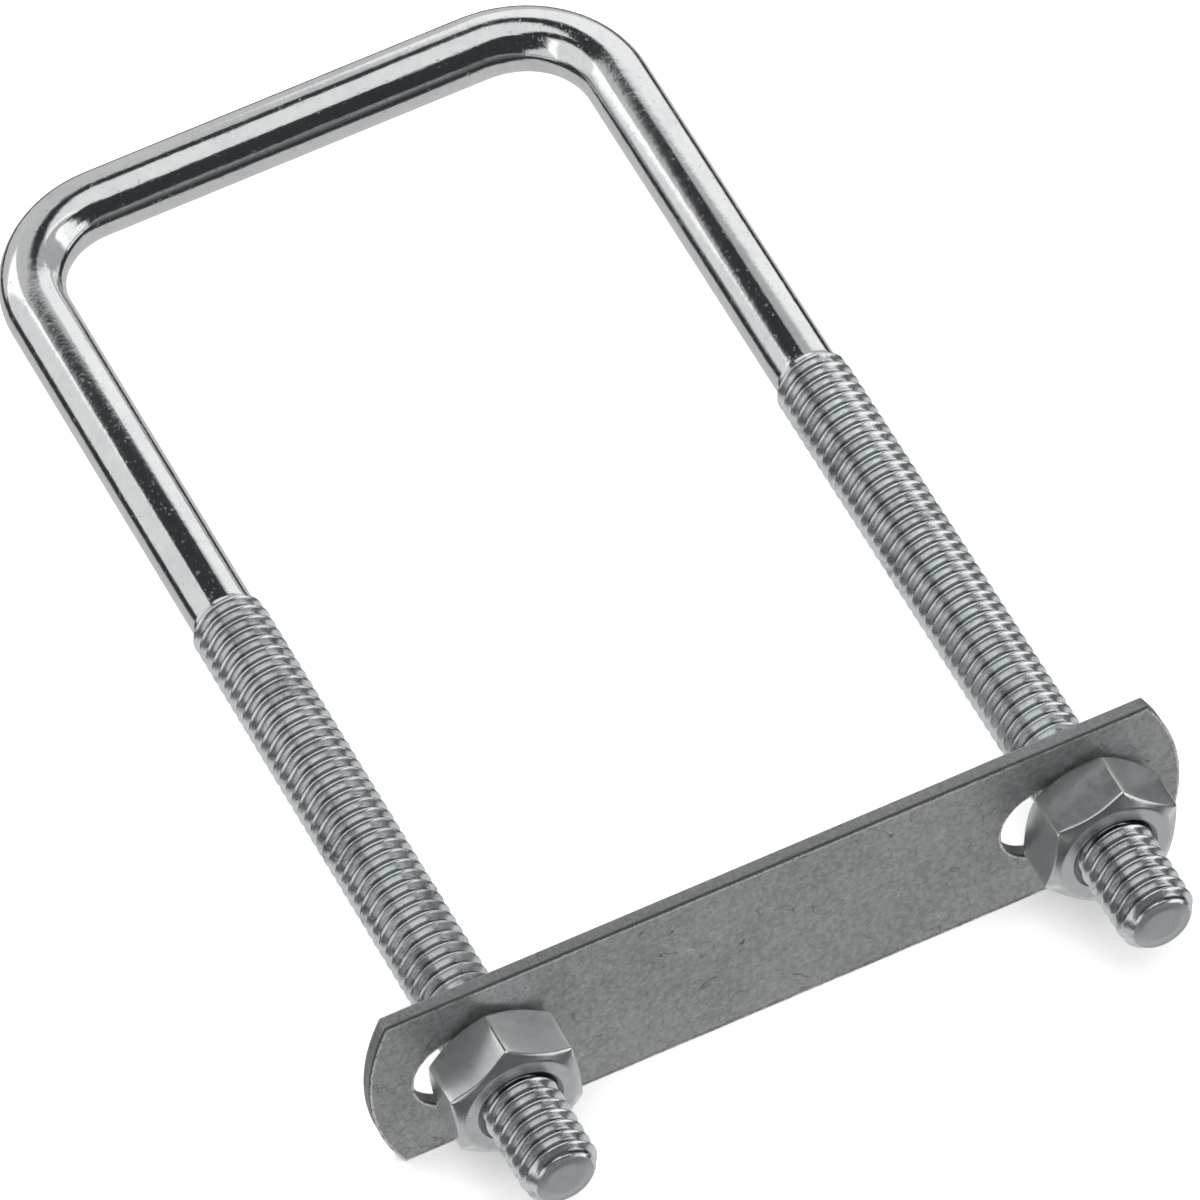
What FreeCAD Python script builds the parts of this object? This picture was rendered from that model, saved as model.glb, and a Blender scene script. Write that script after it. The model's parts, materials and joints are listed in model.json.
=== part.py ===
import FreeCAD, Part
import math
import os

import Sketcher

# Square-bend U-bolt with a slotted clamp plate and two hex nuts, 5/16-18 thread.
# Origin at the middle of the crown bar. +X runs from the left leg to the right leg,
# the legs point along -Y, +Z is up with the U lying flat.

# one row per size: a row that starts with = follows the sizes that it names
DIMENSIONS = [
    ("leg_spacing", "61.8", "between the two leg axes"),
    ("leg_length", "130.6", "crown axis to leg tips"),
    ("shank_dia", "6.62", "plain rod"),
    ("bend_radius", "10.7", "at the rod axis"),
    ("thread_length", "77", "on each leg"),
    ("thread_rise", "0.59", "crest above the plain rod"),
    ("thread_dia", "=shank_dia + 2 * thread_rise", "over the crests"),
    ("thread_pitch", "1.4111", "18 threads to the inch"),
    ("thread_share", "0.5414", "thread depth in pitches, five eighths of the sharp height"),
    ("thread_depth", "=thread_share * thread_pitch", "crest to root"),
    ("tip_chamfer", "1.0", "on each leg tip"),
    ("tip_length", "9.85", "leg standing out of its nut"),
    ("shoulder_length", "1.3", "crest down to the plain rod"),
    ("plate_overhang", "11.2", "plate end past each leg axis"),
    ("plate_length", "=leg_spacing + 2 * plate_overhang", "over the curved ends"),
    ("plate_height", "20", "across"),
    ("plate_thickness", "1.7", "sheet"),
    ("plate_end_radius", "20.5", "of the curved ends"),
    ("plate_shift", "-1.2", "plate centre from the centre of the U"),
    ("slot_clearance", "1.2", "slot width over the thread"),
    ("slot_width", "=thread_dia + slot_clearance", "across"),
    ("slot_play", "5.2", "slot length over its width"),
    ("slot_length", "=slot_width + slot_play", "end to end"),
    ("slot_inset", "0.4", "slot centre inside the leg axis"),
    ("nut_flats", "12.7", "across flats"),
    ("nut_thickness", "6.7", "both faces included"),
    ("nut_face_step", "1.2", "flats over the flat ring"),
    ("nut_face_dia", "=nut_flats - nut_face_step", "flat ring on each face"),
    ("mouth_flare", "0.9", "countersink over the thread"),
    ("nut_mouth_dia", "=thread_dia + mouth_flare", "countersink at the face"),
    ("thread_gap", "0.16", "radial, between nut and leg"),
    ("left_nut_turn", "33", "degrees, a corner from +X"),
    ("right_nut_turn", "16", "degrees, a corner from +X"),
]

CUT_OVERLAP = 0.04          # helical cutters start this far outside the crest, mm
GROOVE_LEAD = "1.5 * dims.thread_pitch"
FLANK = "tan(30 deg)"
SEAT = "(dims.leg_length - dims.tip_length - dims.nut_thickness)"
OUT = FreeCAD.Vector(0, 0, 1)
# line, arc, line, arc round a slot or plate: which ends meet
ENDS_MEET = ((0, 2, 1, 2), (1, 1, 2, 1), (2, 2, 3, 2), (3, 1, 0, 1))

doc = FreeCAD.newDocument("u_bolt_clamp")
sheet = doc.addObject("Spreadsheet::Sheet", "dims")
for row, (alias, value, note) in enumerate(DIMENSIONS, start=1):
    sheet.set(f"A{row}", alias)
    sheet.set(f"B{row}", value)
    sheet.set(f"C{row}", note)
    sheet.setAlias(f"B{row}", alias)
doc.recompute()


def plane(body, role):
    """The named plane of the body's own origin."""
    return next(f for f in body.Origin.OriginFeatures if f.Role == role)


def new_body(label):
    body = doc.addObject("PartDesign::Body", label)
    body.Label = label
    return body


def new_sketch(body, name, role, **offset):
    """A sketch on an origin plane, moved by expressions along its own x, y or z."""
    sketch = body.newObject("Sketcher::SketchObject", name)
    sketch.AttachmentSupport = (plane(body, role), [""])
    sketch.MapMode = "FlatFace"
    for axis, words in offset.items():
        sketch.setExpression(f"AttachmentOffset.Base.{axis}", words)
    return sketch


def bind(sketch, name, constraint, words):
    """Add a driving constraint and bind it to the sheet."""
    index = sketch.addConstraint(constraint)
    sketch.renameConstraint(index, name)
    sketch.setExpression(f"Constraints.{name}", words)


def pin_vertex(sketch, tag, line, x, y):
    """Hold the start of a line at (x, y); a plain 0 puts it on the axis."""
    for axis, words, origin_axis in (("X", x, -2), ("Y", y, -1)):
        if words == 0:
            sketch.addConstraint(Sketcher.Constraint("PointOnObject", line, 1, origin_axis))
        else:
            constraint = Sketcher.Constraint(f"Distance{axis}", -1, 1, line, 1, 1.0)
            bind(sketch, f"{tag}{axis}", constraint, words)


def outline(sketch, tag, vertices):
    """A closed outline of straight lines through vertices given as expressions."""
    count = len(vertices)
    ring = [FreeCAD.Vector(5 + 4 * math.cos(2 * math.pi * i / count),
                           5 + 4 * math.sin(2 * math.pi * i / count), 0) for i in range(count)]
    first = sketch.GeometryCount
    for i in range(count):
        sketch.addGeometry(Part.LineSegment(ring[i], ring[(i + 1) % count]))
    for i in range(count):
        sketch.addConstraint(Sketcher.Constraint("Coincident", first + i, 2, first + (i + 1) % count, 1))
    for i, (x, y) in enumerate(vertices):
        pin_vertex(sketch, f"{tag}{i}", first + i, x, y)


def revolve(body, kind, name, sketch):
    feature = body.newObject(f"PartDesign::{kind}", name)
    feature.Profile = sketch
    feature.ReferenceAxis = (sketch, ["V_Axis"])
    feature.Angle = 360
    return feature


def helical_cut(body, name, sketch, height):
    """A right-hand helical groove about the sketch's own vertical axis."""
    feature = body.newObject("PartDesign::SubtractiveHelix", name)
    feature.Profile = sketch
    feature.ReferenceAxis = (sketch, ["V_Axis"])
    feature.Mode = 0
    feature.LeftHanded = False
    feature.setExpression("Pitch", "dims.thread_pitch")
    feature.setExpression("Height", height)
    return feature


def arc_between(centre, radius, start, end):
    circle = Part.Circle(FreeCAD.Vector(*centre, 0), OUT, radius)
    return Part.ArcOfCircle(circle, math.radians(start), math.radians(end))


def rod_path(sketch):
    """Left leg, bend, crown bar, bend, right leg, on the rod's axis."""
    V = FreeCAD.Vector
    sketch.addGeometry(Part.LineSegment(V(-30, -50, 0), V(-30, -10, 0)))
    sketch.addGeometry(arc_between((-20, -10), 10, 90, 180))
    sketch.addGeometry(Part.LineSegment(V(-20, 0, 0), V(20, 0, 0)))
    sketch.addGeometry(arc_between((20, -10), 10, 0, 90))
    sketch.addGeometry(Part.LineSegment(V(30, -10, 0), V(30, -50, 0)))
    for a, a_end, b, b_end in ((0, 2, 1, 2), (1, 1, 2, 1), (2, 2, 3, 2), (3, 1, 4, 1)):
        sketch.addConstraint(Sketcher.Constraint("Tangent", a, a_end, b, b_end))
    sketch.addConstraint(Sketcher.Constraint("Vertical", 0))
    sketch.addConstraint(Sketcher.Constraint("Vertical", 4))
    sketch.addConstraint(Sketcher.Constraint("PointOnObject", 2, 1, -1))
    sketch.addConstraint(Sketcher.Constraint("PointOnObject", 2, 2, -1))
    sketch.addConstraint(Sketcher.Constraint("Symmetric", 0, 1, 4, 2, -2))
    sketch.addConstraint(Sketcher.Constraint("Equal", 1, 3))
    bind(sketch, "spacing", Sketcher.Constraint("DistanceX", 0, 1, 4, 2, 60.0), "dims.leg_spacing")
    bind(sketch, "bend", Sketcher.Constraint("Radius", 1, 10.0), "dims.bend_radius")
    bind(sketch, "plain", Sketcher.Constraint("DistanceY", 0, 1, 2, 1, 50.0),
         "dims.leg_length - dims.thread_length")


def make_u_bolt():
    body = new_body("u_bolt")
    path = new_sketch(body, "rod_path", "XY_Plane")
    rod_path(path)
    section = new_sketch(body, "rod_section", "XZ_Plane", x="-dims.leg_spacing / 2",
                         z="dims.leg_length - dims.thread_length")
    section.addGeometry(Part.Circle(FreeCAD.Vector(0, 0, 0), OUT, 3))
    section.addConstraint(Sketcher.Constraint("Coincident", 0, 3, -1, 1))
    bind(section, "rod", Sketcher.Constraint("Diameter", 0, 6.0), "dims.shank_dia")
    doc.recompute()
    rod = body.newObject("PartDesign::AdditivePipe", "bent_rod")
    rod.Profile = section
    rod.Spine = (path, [""])
    doc.recompute()

    blank = new_sketch(body, "leg_outline", "XY_Plane", x="-dims.leg_spacing / 2",
                       y="-dims.leg_length")
    outline(blank, "leg", [
        (0, 0),
        ("dims.thread_dia / 2 - dims.tip_chamfer", 0),
        ("dims.thread_dia / 2", "dims.tip_chamfer"),
        ("dims.thread_dia / 2", "dims.thread_length - dims.shoulder_length"),
        ("dims.shank_dia / 2", "dims.thread_length"),
        (0, "dims.thread_length"),
    ])
    leg = revolve(body, "Revolution", "threaded_leg", blank)
    doc.recompute()

    groove = new_sketch(body, "thread_groove", "XY_Plane", x="-dims.leg_spacing / 2",
                        y=f"-dims.leg_length - {GROOVE_LEAD}")
    root = "dims.thread_dia / 2 - dims.thread_depth"
    crest = f"dims.thread_dia / 2 + {CUT_OVERLAP}"
    root_half = "dims.thread_pitch / 8"
    crest_half = f"({root_half} + (dims.thread_depth + {CUT_OVERLAP}) * {FLANK})"
    outline(groove, "groove", [
        (root, f"-{root_half}"),
        (crest, f"-{crest_half}"),
        (crest, crest_half),
        (root, root_half),
    ])
    thread = helical_cut(body, "leg_thread", groove,
                         f"dims.thread_length + {GROOVE_LEAD} - 0.6 * dims.thread_pitch")
    doc.recompute()

    legs = body.newObject("PartDesign::LinearPattern", "both_legs")
    legs.Originals = [leg, thread]
    legs.Direction = (plane(body, "X_Axis"), [""])
    legs.setExpression("Length", "dims.leg_spacing")
    legs.Occurrences = 2
    body.Tip = legs
    doc.recompute()
    return body


def slot_outline(sketch):
    """A slot along the sketch's x, centred a little inside the leg axis."""
    V = FreeCAD.Vector
    sketch.addGeometry(Part.LineSegment(V(28, 4.5, 0), V(33, 4.5, 0)))
    sketch.addGeometry(arc_between((33, 0), 4.5, -90, 90))
    sketch.addGeometry(Part.LineSegment(V(33, -4.5, 0), V(28, -4.5, 0)))
    sketch.addGeometry(arc_between((28, 0), 4.5, 90, 270))
    for a, a_end, b, b_end in ENDS_MEET:
        sketch.addConstraint(Sketcher.Constraint("Tangent", a, a_end, b, b_end))
    sketch.addConstraint(Sketcher.Constraint("Horizontal", 0))
    sketch.addConstraint(Sketcher.Constraint("PointOnObject", 1, 3, -1))
    sketch.addConstraint(Sketcher.Constraint("PointOnObject", 3, 3, -1))
    bind(sketch, "end_radius", Sketcher.Constraint("Radius", 1, 4.5), "dims.slot_width / 2")
    middle = "dims.leg_spacing / 2 - dims.slot_inset"
    reach = "(dims.slot_length - dims.slot_width) / 2"
    bind(sketch, "outer", Sketcher.Constraint("DistanceX", -1, 1, 1, 3, 33.0), f"{middle} + {reach}")
    bind(sketch, "inner", Sketcher.Constraint("DistanceX", -1, 1, 3, 3, 28.0), f"{middle} - {reach}")


def plate_outline(sketch):
    """Two straight long edges joined by large-radius ends."""
    V = FreeCAD.Vector
    sketch.addGeometry(Part.LineSegment(V(-40, 10, 0), V(40, 10, 0)))
    sketch.addGeometry(arc_between((22, 0), 20, -30, 30))
    sketch.addGeometry(Part.LineSegment(V(40, -10, 0), V(-40, -10, 0)))
    sketch.addGeometry(arc_between((-22, 0), 20, 150, 210))
    for a, a_end, b, b_end in ENDS_MEET:
        sketch.addConstraint(Sketcher.Constraint("Coincident", a, a_end, b, b_end))
    sketch.addConstraint(Sketcher.Constraint("Symmetric", 0, 1, 0, 2, -2))
    sketch.addConstraint(Sketcher.Constraint("Symmetric", 2, 1, 2, 2, -2))
    sketch.addConstraint(Sketcher.Constraint("Symmetric", 1, 1, 1, 2, -1))
    sketch.addConstraint(Sketcher.Constraint("Equal", 1, 3))
    bind(sketch, "height", Sketcher.Constraint("DistanceY", 1, 1, 1, 2, 20.0), "dims.plate_height")
    bind(sketch, "end_radius", Sketcher.Constraint("Radius", 1, 20.0), "dims.plate_end_radius")
    bind(sketch, "end_centre", Sketcher.Constraint("DistanceX", -1, 1, 1, 3, 22.0),
         "dims.plate_length / 2 - dims.plate_end_radius")


def make_plate():
    body = new_body("clamp_plate")
    shape = new_sketch(body, "plate_shape", "XZ_Plane")
    plate_outline(shape)
    sheet_metal = body.newObject("PartDesign::Pad", "sheet_metal")
    sheet_metal.Profile = shape
    sheet_metal.setExpression("Length", "dims.plate_thickness")
    doc.recompute()

    slot = new_sketch(body, "slot_shape", "XZ_Plane")
    slot_outline(slot)
    punched = body.newObject("PartDesign::Pocket", "punched_slot")
    punched.Profile = slot
    punched.Type = "ThroughAll"
    punched.Midplane = True
    doc.recompute()

    both = body.newObject("PartDesign::Mirrored", "both_slots")
    both.Originals = [punched]
    both.MirrorPlane = (plane(body, "YZ_Plane"), [""])
    body.Tip = both
    body.setExpression("Placement.Base.x", "dims.plate_shift")
    body.setExpression("Placement.Base.y", f"dims.plate_thickness - {SEAT}")
    doc.recompute()
    return body


def hexagon(sketch, turn):
    """A regular hexagon about the origin with one corner turned from +x."""
    corner = [FreeCAD.Vector(7 * math.cos(math.radians(20 + 60 * i)),
                             7 * math.sin(math.radians(20 + 60 * i)), 0) for i in range(6)]
    for i in range(6):
        sketch.addGeometry(Part.LineSegment(corner[i], corner[(i + 1) % 6]))
    sketch.addGeometry(Part.Circle(FreeCAD.Vector(0, 0, 0), OUT, 7), True)
    sketch.addGeometry(Part.LineSegment(FreeCAD.Vector(0, 0, 0), corner[0]), True)
    sketch.addConstraint(Sketcher.Constraint("Coincident", 6, 3, -1, 1))
    sketch.addConstraint(Sketcher.Constraint("Coincident", 7, 1, -1, 1))
    sketch.addConstraint(Sketcher.Constraint("Coincident", 7, 2, 0, 1))
    for i in range(6):
        sketch.addConstraint(Sketcher.Constraint("Coincident", i, 2, (i + 1) % 6, 1))
        sketch.addConstraint(Sketcher.Constraint("PointOnObject", i, 1, 6))
    for i in range(1, 6):
        sketch.addConstraint(Sketcher.Constraint("Equal", 0, i))
    bind(sketch, "corners", Sketcher.Constraint("Radius", 6, 7.0), "dims.nut_flats / sqrt(3)")
    bind(sketch, "turn", Sketcher.Constraint("Angle", -1, 1, 7, 1, math.radians(20)), f"{turn} * 1 deg")


def make_nut(label, side, turn):
    """A double-chamfered hex nut seated on the plate; its thread meshes with the leg's."""
    body = new_body(label)
    hexagonal = new_sketch(body, "hexagon", "XZ_Plane")
    hexagon(hexagonal, turn)
    blank = body.newObject("PartDesign::Pad", "blank")
    blank.Profile = hexagonal
    blank.setExpression("Length", "dims.nut_thickness")
    doc.recompute()

    corners = new_sketch(body, "corner_cut", "XY_Plane")
    face = "dims.nut_face_dia / 2"
    past = "dims.nut_flats"
    drop = f"({past} - {face}) * {FLANK}"
    outline(corners, "inner", [(face, 0), (past, 0), (past, f"-{drop}")])
    outline(corners, "outer", [
        (face, "-dims.nut_thickness"),
        (past, f"{drop} - dims.nut_thickness"),
        (past, "-dims.nut_thickness"),
    ])
    revolve(body, "Groove", "rounded_corners", corners)
    doc.recompute()

    bore = new_sketch(body, "bore_outline", "XY_Plane")
    mouth = "dims.nut_mouth_dia / 2"
    minor = "(dims.thread_dia / 2 - dims.thread_depth + dims.thread_gap)"
    slope = f"({mouth} - {minor}) * {FLANK}"
    outline(bore, "bore", [
        (0, 0),
        (mouth, 0),
        (minor, f"-{slope}"),
        (minor, f"{slope} - dims.nut_thickness"),
        (mouth, "-dims.nut_thickness"),
        (0, "-dims.nut_thickness"),
    ])
    revolve(body, "Groove", "bore", bore)
    doc.recompute()

    step = "dims.thread_pitch"
    phase = f"mod(dims.tip_length + {GROOVE_LEAD} - {step} / 2; {step})"
    groove = new_sketch(body, "thread_groove", "XY_Plane",
                        y=f"-dims.nut_thickness - {step} - {phase}")
    outer = "dims.thread_dia / 2 + dims.thread_gap"
    inner = f"{minor} - {CUT_OVERLAP}"
    outer_half = f"{step} / 16"
    inner_half = f"({outer_half} + (dims.thread_depth + {CUT_OVERLAP}) * {FLANK})"
    outline(groove, "groove", [
        (inner, f"-{inner_half}"),
        (outer, f"-{outer_half}"),
        (outer, outer_half),
        (inner, inner_half),
    ])
    thread = helical_cut(body, "nut_thread", groove, f"dims.nut_thickness + 3 * {step}")
    body.Tip = thread
    body.setExpression("Placement.Base.x", f"{side} * dims.leg_spacing / 2")
    body.setExpression("Placement.Base.y", f"-{SEAT}")
    doc.recompute()
    return body


def write_parts(bodies):
    """Check every object, then write one STEP file per sub-part."""
    for item in doc.Objects:
        if "Invalid" in item.State or "Error" in item.State:
            raise RuntimeError(f"{item.Label} did not build: {item.State}")
    os.makedirs("parts", exist_ok=True)
    for body in bodies:
        shape = body.Shape
        if shape.isNull() or not shape.isValid() or len(shape.Solids) != 1:
            raise RuntimeError(f"{body.Label} is not one valid solid")
        shape.exportStep(os.path.join("parts", f"{body.Label}.step"))
        print(f"{body.Label}: {shape.Volume:.1f} mm3, {len(shape.Faces)} faces")


pieces = [
    make_u_bolt(),
    make_plate(),
    make_nut("left_nut", -1, "dims.left_nut_turn"),
    make_nut("right_nut", 1, "dims.right_nut_turn"),
]
doc.recompute()
write_parts(pieces)
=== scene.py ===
# %% [markdown]
# # A square U-bolt, its clamp plate and two nuts
# The hard parts are already made in CAD: their sizes and their threads are right, but their
# surfaces are mathematically clean. This lesson gives each piece the skin of the real thing,
# which is cold-bent steel rod with rolled threads, a sheared plate and pressed nuts, all zinc
# plated. We open the CAD frame first, because every position below is read from it.

import json
import math

import bmesh
import bpy
from mathutils import Matrix, Vector, noise


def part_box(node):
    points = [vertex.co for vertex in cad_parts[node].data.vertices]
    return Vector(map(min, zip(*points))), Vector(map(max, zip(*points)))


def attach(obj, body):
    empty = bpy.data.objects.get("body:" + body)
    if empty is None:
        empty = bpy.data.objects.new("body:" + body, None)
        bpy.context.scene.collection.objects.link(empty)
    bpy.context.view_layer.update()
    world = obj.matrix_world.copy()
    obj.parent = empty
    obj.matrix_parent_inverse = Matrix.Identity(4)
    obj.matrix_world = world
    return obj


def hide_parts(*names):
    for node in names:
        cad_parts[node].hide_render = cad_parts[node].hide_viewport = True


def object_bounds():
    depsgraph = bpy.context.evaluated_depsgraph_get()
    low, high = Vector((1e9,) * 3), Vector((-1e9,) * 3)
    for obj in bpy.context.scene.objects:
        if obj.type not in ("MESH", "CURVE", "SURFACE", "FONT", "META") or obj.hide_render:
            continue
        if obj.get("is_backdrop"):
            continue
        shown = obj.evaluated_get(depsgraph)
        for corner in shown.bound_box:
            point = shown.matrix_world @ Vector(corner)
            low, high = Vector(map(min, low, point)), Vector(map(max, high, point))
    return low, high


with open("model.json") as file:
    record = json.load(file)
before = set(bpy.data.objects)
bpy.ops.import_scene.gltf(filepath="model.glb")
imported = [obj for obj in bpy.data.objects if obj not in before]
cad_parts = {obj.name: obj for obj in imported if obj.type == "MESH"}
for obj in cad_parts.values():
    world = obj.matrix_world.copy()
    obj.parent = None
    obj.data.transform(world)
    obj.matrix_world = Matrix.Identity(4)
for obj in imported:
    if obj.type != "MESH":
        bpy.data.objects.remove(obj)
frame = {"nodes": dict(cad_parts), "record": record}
cad_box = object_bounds()
print("CAD nodes:", sorted(frame["nodes"]))

# %% [markdown]
# The record that comes with the frame names the mounts, with the rod's radius among them, and
# the nuts' boxes give the leg spacing. What the frame doesn't hold, such as the pitch, is written
# here once. Lengths are in millimetres on this sheet and turned into metres at once, since the
# frame is in metres.

# %% Sizes
MM = 0.001
mounts = {mount["name"]: mount for mount in frame["record"]["mounts"]}
SHANK = mounts["crown_bar"]["dims"]["r_mm"] * MM
CREST = 3.9 * MM
LEG_X = sum(corner.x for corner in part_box("right_nut")) / 2
TIP_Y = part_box("u_bolt")[0].y
BEND = 10.7 * MM
THREADED = 77 * MM
SHOULDER = 1.3 * MM
CHAMFER = 1.0 * MM
PITCH = 25.4 / 18 * MM
DEPTH = 0.764 * MM
ROOT_HALF = PITCH / 8
FLANK = DEPTH * math.tan(math.radians(30))
THREAD_GAP = 0.16 * MM
NUT_FLATS = 12.7 * MM
NUT_RING = 11.5 / 2 * MM
NUT_MOUTH = 8.7 / 2 * MM
NUT_CORNER = {"left_nut": 33, "right_nut": 16}
print(f"rod {2000 * SHANK:.2f} mm, thread {2000 * CREST:.2f} mm, legs {2000 * LEG_X:.1f} mm apart")

# %% [markdown]
# The camera looks down at about fifty degrees, from in front of the leg tips and a little to
# the left, through a long lens, so parallel edges stay nearly parallel. A camera could be aimed
# with a constraint, but building its axes from an azimuth, an elevation and a roll keeps the
# numbers readable.

# %% Camera
def place_camera(target, azimuth, elevation, roll, distance, lens):
    """A camera that looks at target along a compass azimuth (from +Y towards +X)."""
    a, e, r = (math.radians(angle) for angle in (azimuth, elevation, roll))
    forward = Vector((math.sin(a) * math.cos(e), math.cos(a) * math.cos(e), -math.sin(e)))
    level = Vector((math.cos(a), -math.sin(a), 0))
    lift = level.cross(forward)
    right = level * math.cos(r) - lift * math.sin(r)
    up = right.cross(forward)
    data = bpy.data.cameras.new("bench_camera")
    data.lens = lens
    data.sensor_width = 36
    data.clip_start = 0.05
    camera = bpy.data.objects.new("bench_camera", data)
    bpy.context.scene.collection.objects.link(camera)
    turned = Matrix((right, up, -forward)).transposed().to_4x4()
    camera.matrix_world = Matrix.Translation(Vector(target) - forward * distance) @ turned
    bpy.context.scene.camera = camera
    return camera


camera = place_camera((0.0015, -0.0692, 0), azimuth=19.34, elevation=50.29, roll=7.585,
                      distance=1.701, lens=536.1)
print("camera at", [round(value, 4) for value in camera.location])

# %% [markdown]
# Polished zinc shows the room around it, so the lights are shapes to be reflected as much as
# they are brightness. Each is a soft box: a flat panel with an even glow. The power that gives
# a panel a wanted glow is the glow times its area times pi, which lets us think in glow. The
# panels hang close, as in a small table-top studio, and the gaps between them draw the dark
# bands on the rod.
#
# Each call gives the middles of two edges, the way those edges run, their length and the glow.
# The two wings stand far out at the sides and light the flats of the nuts and the flanks of the
# threads. The front card is a dim strip for the end faces. The bounce card stands in for a table
# top under the metal, and the room fill lights the floor without showing in any reflection.

# %% Soft boxes
scene = bpy.context.scene
scene.view_settings.view_transform = "Standard"
AXIS_X, AXIS_Y = Vector((1, 0, 0)), Vector((0, 1, 0))
OBJECT_MIDDLE = Vector((0, -0.06, 0))


def soft_box(name, first_edge, second_edge, run, length, glow, reflected=True):
    """A glowing panel between the middles of two edges of one length, facing the object."""
    first, second = Vector(first_edge), Vector(second_edge)
    centre, across = (first + second) / 2, second - first
    back = run.cross(across).normalized()
    if back.dot(centre - OBJECT_MIDDLE) < 0:
        run, back = -run, -back
    data = bpy.data.lights.new(name, "AREA")
    data.shape = "RECTANGLE"
    data.size = length
    data.size_y = across.length
    data.energy = glow * length * across.length * math.pi
    lamp = bpy.data.objects.new(name, data)
    turned = Matrix((run, across.normalized(), back)).transposed().to_4x4()
    lamp.matrix_world = Matrix.Translation(centre) @ turned
    lamp.visible_camera = False
    lamp.visible_glossy = reflected
    scene.collection.objects.link(lamp)
    return lamp


soft_box("overhead_box", (0.10, -0.345, 0.5), (0.10, 0.165, 0.5), AXIS_X, 0.6, 0.90)
soft_box("back_box", (0.08, 0.125, -0.04), (0.08, 0.125, 0.168), AXIS_X, 0.44, 0.60)
soft_box("right_box", (0.054, 0.11, 0.116), (0.25, 0.11, -0.03), AXIS_Y, 0.34, 0.46)
soft_box("left_box", (-0.095, 0.11, 0.116), (-0.28, 0.11, -0.03), AXIS_Y, 0.34, 0.83)
soft_box("front_card", (0, -1.2, -0.33), (0, -1.2, 0.05), AXIS_X, 2.4, 0.09)
soft_box("right_wing", (1.0, -0.75, -0.2), (1.0, -0.75, 0.7), AXIS_Y, 1.1, 1.15)
soft_box("left_wing", (-1.0, -0.75, -0.2), (-1.0, -0.75, 0.7), AXIS_Y, 1.1, 0.75)
soft_box("bounce_card", (0, -0.31, -0.2), (0, 0.35, -0.2), AXIS_X, 0.7, 0.58)
soft_box("room_fill", (0, -1.7, 2.0), (0, 1.3, 2.0), AXIS_X, 3.0, 2.5, reflected=False)

world = bpy.data.worlds.new("dim_room")
scene.world = world
world.use_nodes = True
world.node_tree.nodes["Background"].inputs["Color"].default_value = (0.040, 0.042, 0.046, 1)

# %% [markdown]
# Materials are graphs of nodes. Writing each Math node by hand hides the idea in wiring, so a
# small class wraps one output socket and turns +, -, *, / and abs() into Math nodes. A second
# class is the finish itself: node() adds any other node, and the rest are names for common ones.

# %% Shader helpers
class Value:
    """One output socket, used in ordinary arithmetic."""

    def __init__(self, finish, socket):
        self.finish = finish
        self.socket = socket

    def maths(self, operation, *operands, clamp=False):
        settings = {"operation": operation, "use_clamp": clamp}
        return self.finish.node("ShaderNodeMath", settings, dict(enumerate(operands)))

    def __add__(self, other):
        return self.maths("ADD", self, other)

    def __radd__(self, other):
        return self.maths("ADD", other, self)

    def __sub__(self, other):
        return self.maths("SUBTRACT", self, other)

    def __rsub__(self, other):
        return self.maths("SUBTRACT", other, self)

    def __mul__(self, other):
        return self.maths("MULTIPLY", self, other)

    def __rmul__(self, other):
        return self.maths("MULTIPLY", other, self)

    def __truediv__(self, other):
        return self.maths("DIVIDE", self, other)

    def __abs__(self):
        return self.maths("ABSOLUTE", self)

    def held(self):
        """The value kept between 0 and 1."""
        return self.maths("ADD", self, 0.0, clamp=True)

    def between(self, low, high):
        """0 below low, 1 above high and a straight slope from one to the other."""
        return ((self - low) / (high - low)).held()


class Finish:
    """One material under a Principled shader."""

    def __init__(self, name):
        self.material = bpy.data.materials.new(name)
        self.material.use_nodes = True
        self.tree = self.material.node_tree
        self.shader = self.tree.nodes["Principled BSDF"]

    def node(self, kind, settings=None, inputs=None, output=0):
        """Add a node: its settings first, then its sockets' values or links."""
        made = self.tree.nodes.new(kind)
        for key, setting in (settings or {}).items():
            setattr(made, key, setting)
        for key, given in (inputs or {}).items():
            if isinstance(given, Value):
                self.tree.links.new(given.socket, made.inputs[key])
            else:
                made.inputs[key].default_value = given
        return Value(self, made.outputs[output])

    def set(self, **sockets):
        """Set or link the shader's own sockets, written with underscores for spaces."""
        for key, given in sockets.items():
            socket = self.shader.inputs[key.replace("_", " ")]
            if isinstance(given, Value):
                self.tree.links.new(given.socket, socket)
            else:
                socket.default_value = given

    def kept(self, name, output=2):
        """A value stored on the mesh; output 2 reads a number and output 1 a vector."""
        return self.node("ShaderNodeAttribute", {"attribute_name": name}, output=output)

    def local(self):
        """Where a point lies on its own piece, in metres."""
        return self.node("ShaderNodeTexCoord", output=3)

    def noise(self, where, scale, detail=3.0, roughness=0.55, distortion=0.0):
        sockets = {"Vector": where, "Scale": scale, "Detail": detail, "Roughness": roughness,
                   "Distortion": distortion}
        return self.node("ShaderNodeTexNoise", None, sockets)

    def blend(self, amount, first, second):
        """A colour mix: first where amount is 0, second where it is 1."""
        sockets = {0: amount, 6: first, 7: second}
        return self.node("ShaderNodeMix", {"data_type": "RGBA"}, sockets, 2)

    def stretch(self, where, x, y, z):
        sockets = {0: where, 1: (x, y, z)}
        return self.node("ShaderNodeVectorMath", {"operation": "MULTIPLY"}, sockets)

    def bump(self, height, distance):
        sockets = {"Height": height, "Distance": distance, "Strength": 1.0}
        return self.node("ShaderNodeBump", None, sockets)


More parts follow.
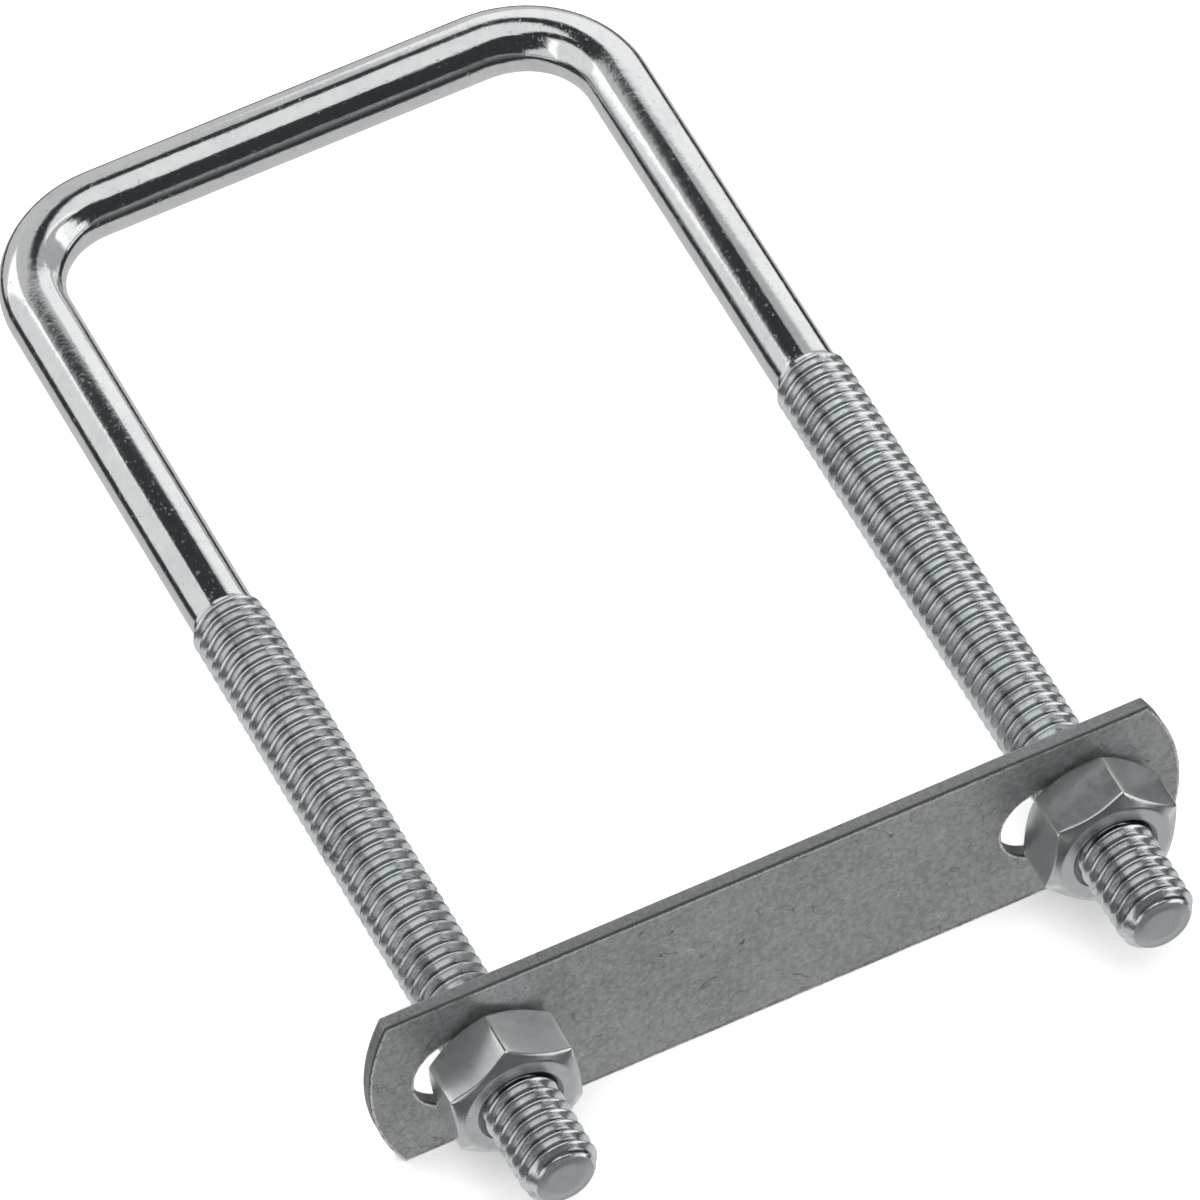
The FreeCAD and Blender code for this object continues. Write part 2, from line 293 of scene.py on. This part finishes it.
# %% [markdown]
# ## The floor
# A plain pale sweep. It is much larger than the object, so no edge of it shows. It stands at the
# plate's lower edge. White paper right under bright metal would wash out the lower edges, so the
# paper takes light and shadow but is left out of reflections: the metal shows the softer bounce
# card instead, as it would if it were propped above the table. The paper also glows a little, like
# a light table, which keeps the shadows faint.

# %% Floor
def lay_floor(height, reach):
    mesh = bpy.data.meshes.new("pale_floor")
    corners = [(-reach, -reach, height), (reach, -reach, height), (reach, reach, height),
               (-reach, reach, height)]
    mesh.from_pydata(corners, [], [(0, 1, 2, 3)])
    floor = bpy.data.objects.new("pale_floor", mesh)
    scene.collection.objects.link(floor)
    paper = Finish("pale_paper")
    tooth = paper.noise(paper.local(), 900, 2)
    paper.set(Base_Color=(0.86, 0.86, 0.86, 1), Roughness=0.9, Emission_Strength=0.35,
              Emission_Color=(1, 1, 1, 1), Normal=paper.bump(tooth, 0.00002))
    mesh.materials.append(paper.material)
    floor.visible_glossy = False
    floor.visible_shadow = False
    floor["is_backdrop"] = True
    return floor


FLOOR_REACH = 4
floor = lay_floor(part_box("clamp_plate")[0].z, FLOOR_REACH)
print("floor at", round(floor.data.vertices[0].co.z / MM, 2), "mm")

# %% [markdown]
# ## A skin turned round an axis
# The rod, the threads and the nuts are all round things: at each distance along an axis and
# each angle round it there is one radius. So one small class covers them. It places vertices
# from (distance, angle, radius), adds flat rings of them, and bands between rings.
#
# A thread is the special case. Flat rings would cut across it and leave it jagged, so over a
# thread the rows follow the helix itself, and are trimmed to a flat ring at both ends.

# %% Turned skins
class Skin:
    """Vertices and faces wound round an axis; place(s, angle, r) says where one goes."""

    def __init__(self, place, angles, inward=False):
        self.place = place
        self.angles = angles
        self.inward = inward
        self.points = []
        self.faces = []
        self.notes = []

    def vertex(self, s, angle, radius, note=0.0):
        self.points.append(self.place(s, angle, radius))
        self.notes.append((s, angle, radius, note))
        return len(self.points) - 1

    def face(self, *corners):
        loop = list(dict.fromkeys(corners))
        if len(loop) > 2:
            self.faces.append(loop[::-1] if self.inward else loop)

    def ring(self, s, radius, note=0.0):
        """radius is a number, or a function of (s, angle)."""
        size = radius if callable(radius) else lambda s, angle: radius
        return [self.vertex(s, angle, size(s, angle), note) for angle in self.angles]

    def band(self, first, second):
        count = len(first)
        for j in range(count):
            k = (j + 1) % count
            self.face(first[j], first[k], second[k], second[j])

    def bands(self, rings):
        for first, second in zip(rings, rings[1:]):
            self.band(first, second)
        return rings[-1]

    def cap(self, ring, s):
        middle = self.vertex(s, 0, 0)
        for j in range(len(ring)):
            self.face(ring[j], ring[(j + 1) % len(ring)], middle)

    def helix(self, start, end, groove, strands, radius):
        """Rows that follow a right-hand thread with a groove at (groove, angle 0)."""
        count, step = len(self.angles), PITCH / strands
        margin = step / 4
        first, last, made = self.ring(start, radius, 1.0), self.ring(end, radius, 1.0), {}

        def corner(j, q):
            if j == count:
                j, q = 0, q + strands
            s = groove + self.angles[j] / math.tau * PITCH + q * step
            if s < start + margin:
                return first[j]
            if s > end - margin:
                return last[j]
            if (j, q) not in made:
                angle = self.angles[j]
                made[j, q] = self.vertex(s, angle, radius(s, angle), 1.0)
            return made[j, q]

        low = math.floor((start - groove) / step) - 2 * strands
        high = math.ceil((end - groove) / step) + strands
        for j in range(count):
            for q in range(low, high):
                self.face(corner(j, q), corner(j + 1, q), corner(j + 1, q + 1), corner(j, q + 1))
        return first, last


def make_object(name, points, faces, finish):
    mesh = bpy.data.meshes.new(name)
    mesh.from_pydata(points, [], faces)
    mesh.polygons.foreach_set("use_smooth", [True] * len(faces))
    mesh.materials.append(finish)
    piece = bpy.data.objects.new(name, mesh)
    scene.collection.objects.link(piece)
    return piece


def keep(piece, name, values, kind="FLOAT"):
    """Store one value per vertex for the shader to read."""
    attribute = piece.data.attributes.new(name, kind, "POINT")
    if kind == "FLOAT":
        attribute.data.foreach_set("value", values)
    else:
        attribute.data.foreach_set("vector", [x for row in values for x in row])


# %% [markdown]
# The thread form is a vee of sixty degrees with a flat root an eighth of a pitch to each side.
# Rolled threads have no sharp corners, so the vee meets its crest and its root through a small
# smooth curve.

# %% Thread form
def eased(x, rounding=0.22):
    """x held between 0 and 1, with both corners rounded."""
    def corner(t):
        if t <= -rounding:
            return 0.0
        return t if t >= rounding else (t + rounding) ** 2 / (4 * rounding)
    return corner(x) - corner(x - 1)


def groove_depth(s, angle, groove):
    """How far below the crest the thread lies at a place on the rod."""
    turns = (s - groove) / PITCH - angle / math.tau
    away = abs(turns - round(turns)) * PITCH
    return DEPTH * eased((ROOT_HALF + FLANK - away) / FLANK)


def soft_step(x):
    x = min(1.0, max(0.0, x))
    return x * x * (3 - 2 * x)


for away in (0, 0.25, 0.5):
    deep = groove_depth(away * PITCH, 0, 0) / MM
    print(f"thread depth {away} pitch from the groove: {deep:.3f} mm")

# %% [markdown]
# ## The bent rod
# The rod runs up the left leg, round a bend, along the crown bar, round the second bend and
# down the right leg. A curve with a bevel could sweep it, but then the thread's radius could
# not change with the angle, so we sweep it ourselves: the path gives a centre and a heading, and
# the skin gives the radius.

# %% Rod path
LEG = -TIP_Y - BEND
ARC = BEND * math.pi / 2
BAR = 2 * (LEG_X - BEND)
ROD = 2 * LEG + 2 * ARC + BAR


def rod_axis(s):
    """The centre of the rod and its heading angle, from +Y towards +X, after s metres."""
    if s < LEG:
        return Vector((-LEG_X, TIP_Y + s, 0)), 0.0
    if s < LEG + ARC:
        a = (s - LEG) / BEND
        return Vector((-LEG_X + BEND - BEND * math.cos(a), -BEND + BEND * math.sin(a), 0)), a
    if s < LEG + ARC + BAR:
        return Vector((-LEG_X + BEND + s - LEG - ARC, 0, 0)), math.pi / 2
    if s < ROD - LEG:
        a = (s - LEG - ARC - BAR) / BEND
        centre = Vector((LEG_X - BEND + BEND * math.sin(a), -BEND + BEND * math.cos(a), 0))
        return centre, math.pi / 2 + a
    return Vector((LEG_X, TIP_Y + ROD - s, 0)), math.pi


def on_rod(s, angle, radius):
    """Angle 0 faces the inside of the U, and turns right-handed about the heading."""
    centre, heading = rod_axis(s)
    inside = Vector((math.cos(heading), -math.sin(heading), 0))
    return centre + (inside * math.cos(angle) - Vector((0, 0, math.sin(angle)))) * radius


print(f"rod length {ROD / MM:.1f} mm along its axis")

# %% [markdown]
# Each leg's thread is cut by the chamfer at its tip and fades into the plain rod at its
# shoulder. Rolling starts between two dies, so the last turn rises from nothing.

# %% Rod radius
def leg_radius(groove, from_tip):
    """The radius over one threaded leg; from_tip turns s into the distance from its own tip."""
    def radius(s, angle):
        tip = from_tip(s)
        rise = soft_step((THREADED - tip) / SHOULDER)
        thread = SHANK + (CREST - groove_depth(s, angle, groove) - SHANK) * rise
        return min(thread, CREST - CHAMFER + tip)
    return radius


left_groove = PITCH / 2
right_groove = ROD
left_radius = leg_radius(left_groove, lambda s: s)
right_radius = leg_radius(right_groove, lambda s: ROD - s)

COLUMNS = 48
STRANDS = 14
rod = Skin(on_rod, [math.tau * j / COLUMNS for j in range(COLUMNS)])
left_tip, left_shoulder = rod.helix(0, THREADED, left_groove, STRANDS, left_radius)
right_shoulder, right_tip = rod.helix(ROD - THREADED, ROD, right_groove, STRANDS, right_radius)
print("thread faces:", len(rod.faces))

# %% [markdown]
# Between the shoulders the rod is plain. The bends get closely spaced rings; the straight runs
# need few. A rod this thick is bent cold round a former with a groove in it, and the sides of the
# groove press two shallow flats into the inside of each bend.

# %% Plain rod
def spaced(start, end, count):
    """Distances between start and end, without the ends."""
    return [start + (end - start) * i / count for i in range(1, count)]


def bend_share(s):
    """0 on the straight runs, rising to 1 in the middle of each bend."""
    for start in (LEG, LEG + ARC + BAR):
        if start < s < start + ARC:
            return math.sin((s - start) / ARC * math.pi)
    return 0.0


PRESSED = 0.045
PRESS_ANGLE = 0.75
PRESS_LEAN = 0.8


def plain_radius(s, angle):
    """The plain rod: a little uneven from drawing, and pressed flat twice inside each bend."""
    wave = noise.noise(Vector((s * 70, 2 * math.cos(angle), 2 * math.sin(angle))))
    size = SHANK * (1 - 0.0012 * (1 + wave))
    share = bend_share(s)
    for press in (-PRESS_ANGLE, PRESS_ANGLE):
        lean = math.cos(angle - press)
        if share > 0 and lean > PRESS_LEAN:
            size = min(size, SHANK * (1 - PRESSED * share) / lean)
    return size


STRAIGHT, BENT = 24, 28
marks = [THREADED, LEG, LEG + ARC, LEG + ARC + BAR, ROD - LEG, ROD - THREADED]
stops = []
for start, end, count in zip(marks, marks[1:], (STRAIGHT, BENT, STRAIGHT, BENT, STRAIGHT)):
    stops += spaced(start, end, count) + [end]
plain_rings = [rod.ring(s, plain_radius) for s in stops[:-1]]
rod.bands([left_shoulder] + plain_rings + [right_shoulder])
print("plain rings:", len(plain_rings))

# %% [markdown]
# Both tips are closed by a flat disc inside the chamfer. One more ring part of the way in keeps
# the disc's triangles short. The two discs look opposite ways along the rod, so one is wound the
# other way round.

# %% Rod ends
END_RING = 0.6
for ring, s, flip in ((left_tip, 0, True), (right_tip, ROD, False)):
    inner = rod.ring(s, (CREST - CHAMFER) * END_RING)
    rod.inward = flip
    rod.band(ring, inner)
    rod.cap(inner, s)
rod.inward = False
print("rod faces, with both ends closed:", len(rod.faces))

# %% [markdown]
# ## Zinc on the rod
# Bright zinc is a mirror with a skin: fine lines left along the rod by drawing, a soft mottle
# of small crystals, and here and there a pit. In the threads the rolling has torn the skin, so the
# zinc there is satin, light grey, with darker patches, and the roots are painted dark as shade.
# The sawn ends are brushed.
# The noise is laid out on the rod as if it were straight, so the lines follow it round the bends.
# Four values are kept on the mesh for this: the unbent place, how much a point belongs to the
# thread, how deep in the thread it lies, and whether it is on a sawn end.

# %% Rod finish
def rod_finish():
    zinc = Finish("bright_zinc")
    where = zinc.kept("unbent", output=1)
    thread, depth, sawn = zinc.kept("thread"), zinc.kept("depth"), zinc.kept("sawn")
    lines = zinc.noise(zinc.stretch(where, 0.06, 1, 1), 3600, 3)
    mottle = zinc.noise(where, 900, 5, 0.6)
    patches = zinc.noise(where, 230, 3)
    grain = zinc.noise(where, 3000, 4, 0.7)
    pits = zinc.noise(where, 2300, 3, 0.6).between(0.64, 0.72)
    brushed = zinc.noise(zinc.stretch(where, 1, 1, 0.1), 4200, 2)
    mixed = mottle.between(0.3, 0.7) * 0.5 + patches.between(0.35, 0.65) * 0.5
    plain = zinc.blend(mixed, (0.66, 0.675, 0.69, 1), (0.78, 0.785, 0.78, 1))
    plain = zinc.blend(pits * 0.5, plain, (0.50, 0.51, 0.52, 1))
    dark = patches.between(0.50, 0.66) * mottle.between(0.35, 0.6)
    cut = zinc.blend(mixed, (0.66, 0.70, 0.715, 1), (0.92, 0.945, 0.945, 1))
    cut = zinc.blend(dark * 0.75, cut, (0.30, 0.325, 0.34, 1))
    # Painted shade: the deepest part of each thread root is darkened nearly to black.
    cut = zinc.blend(depth.between(0.78, 0.98) * 0.92, cut, (0.06, 0.065, 0.07, 1))
    tone = zinc.blend(thread, plain, cut)
    end_tone = zinc.blend(brushed, (0.42, 0.44, 0.455, 1), (0.56, 0.58, 0.595, 1))
    tone = zinc.blend(sawn, tone, end_tone)
    satin = (thread - sawn * 0.3).held()
    roughness = 0.055 + mottle * 0.05 + lines * 0.03 + pits * 0.06 + sawn * 0.22
    height = (grain * (0.5 + thread * 0.3) + lines * 0.5 + mottle * (1.3 - thread * 0.9)
              - pits * 0.7)
    zinc.set(
        Base_Color=tone,
        Metallic=1.0 - thread * 0.09 - sawn * 0.15,
        Roughness=(roughness + satin * (0.03 + mottle * 0.11)).held(),
        Normal=zinc.bump(height + sawn * brushed * 1.5, 0.000012),
    )
    return zinc.material


THREAD_FADE = 0.8 * MM
TINY = 1e-6


def tip_distance(s):
    """How far along the rod the nearer tip is."""
    return min(s, ROD - s)


def shown_depth(s, radius, note):
    """How deep in the thread a vertex lies: 0 on the crest and the chamfer, 1 in the root."""
    on_chamfer = radius > CREST - CHAMFER + tip_distance(s) - TINY
    return 0.0 if on_chamfer else min(1.0, max(0.0, (CREST - radius) / DEPTH)) * note


rod_zinc = rod_finish()
u_bolt = make_object("bent_rod", rod.points, rod.faces, rod_zinc)
unbent = [(s, r * math.cos(a), r * math.sin(a)) for s, a, r, note in rod.notes]
threaded = [note * soft_step((THREADED - tip_distance(s)) / THREAD_FADE)
            for s, a, r, note in rod.notes]
keep(u_bolt, "unbent", unbent, "FLOAT_VECTOR")
keep(u_bolt, "thread", threaded)
keep(u_bolt, "sawn", [float(tip_distance(s) < TINY) for s, a, r, note in rod.notes])
keep(u_bolt, "depth", [shown_depth(s, r, note) for s, a, r, note in rod.notes])
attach(u_bolt, "u_bolt")
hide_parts("u_bolt")
print("bent rod:", len(rod.points), "vertices,", len(rod.faces), "faces")

# %% [markdown]
# ## The nuts
# A hex nut is also a radius that changes with the angle. The six flats give one limit and the
# chamfer cone at each face another, and the smaller of the two wins, which draws the curved
# arcs on the flats by itself. Both limits are blended softly, because pressed nuts have no
# knife edges. Columns are crowded at the corners to round them.

# %% Nut shape
SHARPNESS = 100
CORNER_SOFT = 0.22 * MM
CORNER_STARTS = 6.95 * MM
CORNER_FADE = 0.35 * MM
OUTER_SKIN = 6 * MM
FACE_RINGS = (4.45, 5.0, 5.5, 5.68)
SIDE_RINGS = (0.03, 0.08, 0.14, 0.2, 0.27, 0.34, 0.42, 0.5, 0.6, 0.7, 0.8, 0.9, 1.0, 1.15, 1.4,
              2.0)
BESIDE_CORNER = (-1.6, -0.8, 0, 0.8, 1.6, 4, 8, 12, 16, 20, 24, 28, 32, 36, 40, 44, 48, 52, 56)


def hex_radius(angle, corner):
    """The distance to a slightly rounded hexagon at an angle from +X."""
    flats = (math.cos(angle - corner - math.radians(30 + 60 * k)) for k in range(6))
    reach = sum(max(0.0, c) ** SHARPNESS for c in flats) ** (1 / SHARPNESS)
    return NUT_FLATS / 2 / reach


def softer_min(a, b, k):
    h = max(k - abs(a - b), 0.0) / k
    return min(a, b) - h * h * k / 4


def nut_angles(corner):
    """Columns round the nut, close together beside each corner."""
    return [corner + math.radians(60 * k + offset) for k in range(6) for offset in BESIDE_CORNER]


def make_nut(node, finish):
    """A detailed nut in the place of a CAD one; s runs from its outer face towards the plate."""
    low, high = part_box(node)
    centre_x = math.copysign(LEG_X, low.x + high.x)
    tall = high.y - low.y
    corner = math.radians(-NUT_CORNER[node])

    def place(s, angle, radius):
        return Vector((centre_x + radius * math.cos(angle), low.y + s, -radius * math.sin(angle)))

    def outside(s, angle):
        cone = NUT_RING + min(s, tall - s) * math.sqrt(3)
        return softer_min(cone, hex_radius(angle, corner), CORNER_SOFT)

    groove = (TIP_Y - low.y + PITCH / 2) % PITCH

    def inside(s, angle):
        thread = CREST + THREAD_GAP - groove_depth(s, angle, groove)
        cone = NUT_MOUTH - min(s, tall - s) * math.sqrt(3)
        return max(thread, cone)

    nut = Skin(place, nut_angles(corner), inward=True)
    mouth, seat_mouth = nut.helix(0, tall, groove, STRANDS, inside)
    nut.inward = False
    rise = [step * MM for step in SIDE_RINGS]
    rings = [mouth] + [nut.ring(0, radius * MM) for radius in FACE_RINGS]
    rings += [nut.ring(s, outside) for s in rise + [tall / 2] + [tall - s for s in reversed(rise)]]
    rings += [nut.ring(tall, radius * MM) for radius in reversed(FACE_RINGS)] + [seat_mouth]
    nut.bands(rings)
    piece = make_object(f"{node}_hex", nut.points, nut.faces, finish)
    edge = [soft_step((hex_radius(a, corner) - CORNER_STARTS) / CORNER_FADE) * (r > OUTER_SKIN)
            for s, a, r, note in nut.notes]
    keep(piece, "edge", edge)
    keep(piece, "bore", [note for s, a, r, note in nut.notes])
    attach(piece, node)
    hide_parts(node)
    print(node, len(nut.faces), "faces")


# %% [markdown]
# The nuts have the same zinc, a little duller and with a finer mottle. Handling has polished
# their corners, and their colour is also brightened there as a painted highlight; the bore is
# painted dark as shade. Both come from values kept on the mesh.

# %% Nut finish
def nut_finish():
    zinc = Finish("satin_zinc")
    where, edge, bore = zinc.local(), zinc.kept("edge"), zinc.kept("bore")
    mottle = zinc.noise(where, 1100, 5, 0.6)
    patches = zinc.noise(where, 260, 3)
    grain = zinc.noise(where, 3200, 4, 0.7)
    mixed = mottle.between(0.3, 0.7) * 0.5 + patches.between(0.35, 0.65) * 0.5
    tone = zinc.blend(mixed, (0.56, 0.585, 0.595, 1), (0.72, 0.74, 0.745, 1))
    # Partly polish from handling, partly a painted highlight: the corners are brightened.
    tone = zinc.blend(edge * 0.7, tone, (0.90, 0.90, 0.89, 1))
    # Painted shade: the threaded bore is darkened.
    tone = zinc.blend(bore * 0.75, tone, (0.16, 0.17, 0.18, 1))
    zinc.set(
        Base_Color=tone,
        Metallic=0.93,
        Roughness=(0.15 + mottle * 0.12 + patches * 0.06 - edge * 0.08).held(),
        Normal=zinc.bump(grain * 0.8 + mottle * 0.5, 0.000010),
    )
    return zinc.material


nut_zinc = nut_finish()
for node in ("left_nut", "right_nut"):
    make_nut(node, nut_zinc)

# %% [markdown]
# ## The clamp plate
# The plate is sheared from strip and its two slots are punched. A sheared edge is never a clean
# corner: it is rolled over on one face and carries a low burr on the other. So the plate is two
# kinds of surface: flat faces, and an edge profile that is run along the outline and each slot.

# %% Plate outline
def arc(centre_x, centre_z, radius, start, end, count):
    steps = [math.radians(start + (end - start) * i / count) for i in range(count + 1)]
    return [(centre_x + radius * math.cos(a), centre_z + radius * math.sin(a)) for a in steps]


def straight(first, second, count):
    return [tuple(a + (b - a) * i / count for a, b in zip(first, second)) for i in range(1, count)]


plate_low, plate_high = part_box("clamp_plate")
PLATE_X = (plate_low.x + plate_high.x) / 2
PLATE_HALF = (plate_high.x - plate_low.x) / 2
PLATE_TALL = (plate_high.z - plate_low.z) / 2
END_RADIUS = 20.5 * MM
SLOT_R = 4.5 * MM
SLOT_REACH = 2.6 * MM
SLOT_X = LEG_X - 0.4 * MM

sweep = math.degrees(math.asin(PLATE_TALL / END_RADIUS))
right_end = arc(PLATE_X + PLATE_HALF - END_RADIUS, 0, END_RADIUS, -sweep, sweep, 24)
left_end = arc(PLATE_X - PLATE_HALF + END_RADIUS, 0, END_RADIUS, 180 - sweep, 180 + sweep, 24)
outline = (right_end + straight(right_end[-1], left_end[0], 60)
           + left_end + straight(left_end[-1], right_end[0], 60))


def slot_loop(middle):
    right = arc(middle + SLOT_REACH, 0, SLOT_R, -90, 90, 20)
    left = arc(middle - SLOT_REACH, 0, SLOT_R, 90, 270, 20)
    return right + straight(right[-1], left[0], 6) + left + straight(left[-1], right[0], 6)


slots = [slot_loop(PLATE_X + side * SLOT_X) for side in (-1, 1)]
print("plate outline:", len(outline), "points; slots:", [len(slot) for slot in slots])

# %% [markdown]
# The edge profile is a short list of (in from the outline, back from the front face), in
# millimetres. Small noise along the edge makes the burr come and go, as it does on real sheared
# strip. Three values are kept for the finish: edge on the sheared side, burr on the lip that
# stands proud of the front face, where a painted highlight goes, and crease in the narrow line
# just behind that lip, where a dark line of painted shade goes.

# %% Plate mesh
EDGE = [(0.5, 0.0), (0.34, 0.0), (0.2, -0.07), (0.07, -0.06), (0.0, 0.06), (0.0, 0.16),
        (0.01, 0.4), (0.03, 0.6), (0.05, 0.9), (0.02, 1.2), (0.02, 1.4), (0.09, 1.58),
        (0.22, 1.67), (0.42, 1.7)]


def inward_normals(loop):
    """The direction into the metal at each point of an anticlockwise loop."""
    result = []
    for i, point in enumerate(loop):
        before, after = Vector(loop[i - 1]), Vector(loop[(i + 1) % len(loop)])
        here = Vector(point)
        a, b = (here - before).normalized(), (after - here).normalized()
        normal = Vector((-a.y - b.y, a.x + b.x)).normalized()
        result.append(normal / max(0.5, normal.dot(Vector((-a.y, a.x)))))
    return result


def edge_rows(loop, sign):
    """The profile's rows round one loop; sign is -1 round a hole."""
    rows = []
    normals = inward_normals(loop)
    for inset, back in EDGE:
        row = []
        for (x, z), normal in zip(loop, normals):
            rough = noise.noise(Vector((x * 900, z * 900, back * 3)))
            lip = min(back, 0) * (0.45 + 0.9 * rough)
            wave = noise.noise(Vector((x * 1500, z * 1500, back)))
            ripple = 0.02 * (1 + wave) * (0.1 < back < 1.5)
            step = (inset + ripple) * MM * sign
            depth = (max(back, 0) + lip) * MM
            row.append(Vector((x + normal.x * step, plate_low.y + depth, z + normal.y * step)))
        rows.append(row)
    return rows


plate_mesh = bmesh.new()
rims = {"front": [], "back": []}
edge_layer = plate_mesh.verts.layers.float.new("edge")
burr_layer = plate_mesh.verts.layers.float.new("burr")
crease_layer = plate_mesh.verts.layers.float.new("crease")
for loop, sign in [(outline, 1)] + [(slot, -1) for slot in slots]:
    rows = [[plate_mesh.verts.new(point) for point in row] for row in edge_rows(loop, sign)]
    for row, (inset, back) in zip(rows, EDGE):
        for vertex in row:
            vertex[edge_layer] = 1.0 if 0.04 < back < 1.5 else 0.0
            vertex[burr_layer] = 1.0 if back < 0 else 0.0
            vertex[crease_layer] = 1.0 if 0.05 < back < 0.2 else 0.0
    count = len(loop)
    for first, second in zip(rows, rows[1:]):
        for j in range(count):
            k = (j + 1) % count
            corners = (first[j], first[k], second[k], second[j])
            made = plate_mesh.faces.new(corners if sign > 0 else corners[::-1])
            made.smooth = True
    for side, row in (("front", rows[0]), ("back", rows[-1])):
        rims[side] += [plate_mesh.edges.get((row[j], row[(j + 1) % count])) for j in range(count)]

for side in ("front", "back"):
    filled = bmesh.ops.triangle_fill(plate_mesh, use_beauty=True, edges=rims[side])
    for made in filled["geom"]:
        if isinstance(made, bmesh.types.BMFace):
            made.smooth = False
bmesh.ops.recalc_face_normals(plate_mesh, faces=plate_mesh.faces)
print(f"plate volume: {plate_mesh.calc_volume(signed=True) / MM ** 3:.0f} cubic mm")

# %% [markdown]
# The plate is the dullest piece: a fine salt-and-pepper mottle from the bath, with a few thin
# scratches, some dark and some bright. A scratch is a thin line where a slow noise crosses one
# level, so it wanders, and a second noise breaks it into short pieces.

# %% Plate finish
def hairline(field, level, thinness):
    """1 where the field crosses the level, falling to 0 close beside it."""
    return (1.0 - abs(field - level) * thinness).held()


def plate_finish():
    zinc = Finish("rubbed_zinc")
    where = zinc.local()
    edge, burr, crease = zinc.kept("edge"), zinc.kept("burr"), zinc.kept("crease")
    mottle = zinc.noise(where, 2100, 6, 0.7)
    patches = zinc.noise(where, 120, 3)
    grain = zinc.noise(where, 3600, 4, 0.7)
    cuts = zinc.noise(zinc.stretch(where, 1, 0.1, 0.5), 5200, 3)
    broken = zinc.noise(where, 420, 2).between(0.46, 0.56)
    swirl = zinc.noise(where, 130, 2, 0.5, 1.6)
    dark_hair = hairline(swirl, 0.52, 150) * broken
    other = zinc.noise(where, 190, 2, 0.5, 2.2)
    light_hair = hairline(other, 0.45, 160) * (1.0 - broken)
    mixed = mottle.between(0.36, 0.64) * 0.75 + patches.between(0.3, 0.7) * 0.25
    tone = zinc.blend(mixed, (0.30, 0.315, 0.32, 1), (0.60, 0.61, 0.605, 1))
    tone = zinc.blend(dark_hair * 0.85, tone, (0.12, 0.13, 0.14, 1))
    tone = zinc.blend(light_hair * 0.6, tone, (0.86, 0.86, 0.85, 1))
    tone = zinc.blend(edge * (0.45 + cuts.between(0.3, 0.7) * 0.3), tone, (0.20, 0.21, 0.22, 1))
    # Painted highlight: the burr lip is brightened towards white, in broken pieces.
    tone = zinc.blend(burr * cuts.between(0.38, 0.55) * 0.85, tone, (0.92, 0.92, 0.91, 1))
    # Painted shade: a near-black line in the crease just behind the burr.
    tone = zinc.blend(crease * 0.85, tone, (0.05, 0.05, 0.05, 1))
    height = grain * 0.9 + mottle * 1.4 - dark_hair * 0.8 + edge * cuts * 1.6
    zinc.set(
        Base_Color=tone,
        Metallic=0.90,
        Roughness=(0.27 + mottle * 0.18 + edge * 0.12 - burr * 0.12).held(),
        Normal=zinc.bump(height, 0.00002),
    )
    return zinc.material


plate_zinc = plate_finish()
sheet = bpy.data.meshes.new("slotted_plate")
plate_mesh.to_mesh(sheet)
plate_mesh.free()
sheet.materials.append(plate_zinc)
plate = bpy.data.objects.new("slotted_plate", sheet)
scene.collection.objects.link(plate)
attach(plate, "clamp_plate")
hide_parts("clamp_plate")
print("plate:", len(sheet.polygons), "faces")

# %% [markdown]
# ## The size
# The looks must not change the object, so the box of what is shown is printed beside the box
# of the CAD model.

# %% Both boxes
shown_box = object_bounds()
for name, corners in (("CAD", cad_box), ("shown", shown_box)):
    print(name, [[round(value / MM, 2) for value in corner] for corner in corners])
